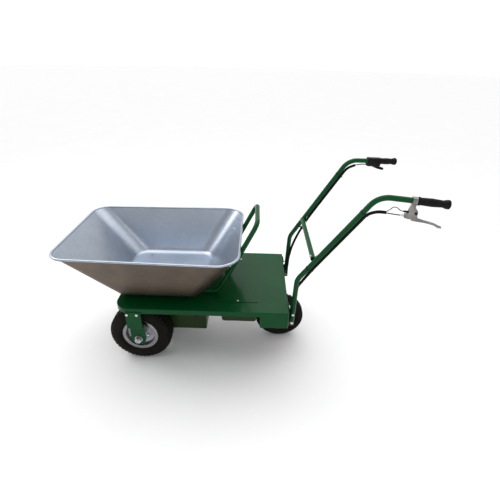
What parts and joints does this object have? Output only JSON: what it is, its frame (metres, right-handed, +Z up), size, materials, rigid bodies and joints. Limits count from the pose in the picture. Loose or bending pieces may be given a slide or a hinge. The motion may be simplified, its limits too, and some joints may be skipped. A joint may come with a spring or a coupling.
{
  "type": "power wheelbarrow",
  "caption": "Battery-powered wheelbarrow with a tipping steel pan on a flat green deck, driven front wheels, a rear castor and tall handles.",
  "frame": {"origin": "on the ground under the middle of the machine's overall length and width", "axes": "+X back towards the operator's grips, +Y to the operator's right as they look forwards, +Z up"},
  "size_m": [1.7668, 0.699, 1.0172],
  "materials": {
    "green_paint": "glossy",
    "olive_paint": "satin",
    "galvanised_steel": "satin",
    "zinc_plated_steel": "satin",
    "machined_steel": "satin",
    "cast_housing": "matte",
    "black_enamel": "satin",
    "red_paint": "satin",
    "tyre_rubber": "matte",
    "grip_rubber": "matte",
    "black_plastic": "satin",
    "cable_jacket": "satin",
    "cast_aluminium": "satin"
  },
  "bodies": {
    "chassis": {"deck_panel": "green_paint", "battery_lid": "green_paint", "lid_screws": "zinc_plated_steel", "battery_tray": "olive_paint", "batteries": "black_plastic", "left_frame_rail": "green_paint", "right_frame_rail": "green_paint", "front_cross_members": "green_paint", "rear_cross_members": "green_paint", "left_wheel_bracket": "green_paint", "right_wheel_bracket": "green_paint", "bracket_bolts": "zinc_plated_steel", "axle_bushes": "machined_steel", "transaxle_housing": "cast_housing", "drive_motor": "black_enamel", "motor_brake": "cast_housing", "drive_casing": "olive_paint", "castor_plate": "zinc_plated_steel", "castor_bolts": "zinc_plated_steel", "motor_controller": "cast_aluminium", "left_handle": "green_paint", "right_handle": "green_paint", "handle_brackets": "green_paint", "handle_bolts": "zinc_plated_steel", "handle_cross_tube": "green_paint", "left_grip": "grip_rubber", "right_grip": "grip_rubber", "brake_bracket": "cast_aluminium", "lever_pivot_screw": "black_enamel", "cable_adjuster": "zinc_plated_steel", "brake_switch": "black_plastic", "throttle_housing": "black_plastic", "brake_cable": "cable_jacket", "switch_lead": "cable_jacket", "throttle_harness": "cable_jacket", "cable_sleeves": "cable_jacket", "tub_hinge_lugs": "green_paint", "tub_hinge_pins": "zinc_plated_steel"},
    "left_wheel": {"left_half_shaft": "machined_steel", "left_hub": "machined_steel", "left_rim": "galvanised_steel", "left_rim_bolts": "zinc_plated_steel", "left_tyre": "tyre_rubber", "left_axle_nut": "zinc_plated_steel"},
    "right_wheel": {"right_half_shaft": "machined_steel", "right_hub": "machined_steel", "right_rim": "galvanised_steel", "right_rim_bolts": "zinc_plated_steel", "right_tyre": "tyre_rubber", "right_axle_nut": "zinc_plated_steel"},
    "castor_swivel": {"castor_fork": "zinc_plated_steel", "castor_axle_bolt": "zinc_plated_steel"},
    "castor_wheel": {"castor_rim": "red_paint", "castor_tyre": "tyre_rubber"},
    "tub": {"tub_pan": "galvanised_steel", "tub_frame": "green_paint", "tub_bolts": "zinc_plated_steel"},
    "brake_lever": {"brake_lever": "cast_aluminium"},
    "brake_arm": {"brake_arm": "machined_steel"},
    "throttle_trigger": {"throttle_trigger": "black_plastic"}
  },
  "joints": [
    {"name": "left_wheel_spin", "type": "hinge", "parent": "chassis", "child": "left_wheel", "pos_m": [-0.513, -0.2, 0.165], "axis": [0, 1, 0], "continuous": true},
    {"name": "right_wheel_spin", "type": "hinge", "parent": "chassis", "child": "right_wheel", "pos_m": [-0.513, 0.2, 0.165], "axis": [0, 1, 0], "continuous": true},
    {"name": "castor_swivel_turn", "type": "hinge", "parent": "chassis", "child": "castor_swivel", "pos_m": [0.193, 0, 0.3], "axis": [0, 0, 1], "continuous": true},
    {"name": "castor_wheel_spin", "type": "hinge", "parent": "castor_swivel", "child": "castor_wheel", "pos_m": [0.246, 0, 0.14], "axis": [0, 1, 0], "continuous": true},
    {"name": "tub_tip", "type": "hinge", "parent": "chassis", "child": "tub", "pos_m": [-0.6, 0, 0.396], "axis": [0, -1, 0], "range_deg": [0, 70]},
    {"name": "brake_lever_pull", "type": "hinge", "parent": "chassis", "child": "brake_lever", "pos_m": [0.75856, -0.31132, 0.9442], "axis": [-0.1587, -0.9873, 0], "range_deg": [0, 25], "stiffness_Nm_per_rad": 0.6, "springref_deg": -8.59},
    {"name": "brake_arm_swing", "type": "hinge", "parent": "chassis", "child": "brake_arm", "pos_m": [-0.219, 0, 0.2], "axis": [1, 0, 0], "range_deg": [0, 16]},
    {"name": "throttle_pull", "type": "hinge", "parent": "chassis", "child": "throttle_trigger", "pos_m": [0.72937, 0.30663, 0.97748], "axis": [0.1587, -0.9873, 0], "range_deg": [0, 10], "stiffness_Nm_per_rad": 0.25, "springref_deg": -8.59}
  ],
  "couplings": [
    {"joint": "brake_arm_swing", "follows": "brake_lever_pull", "ratio": 0.64}
  ]
}
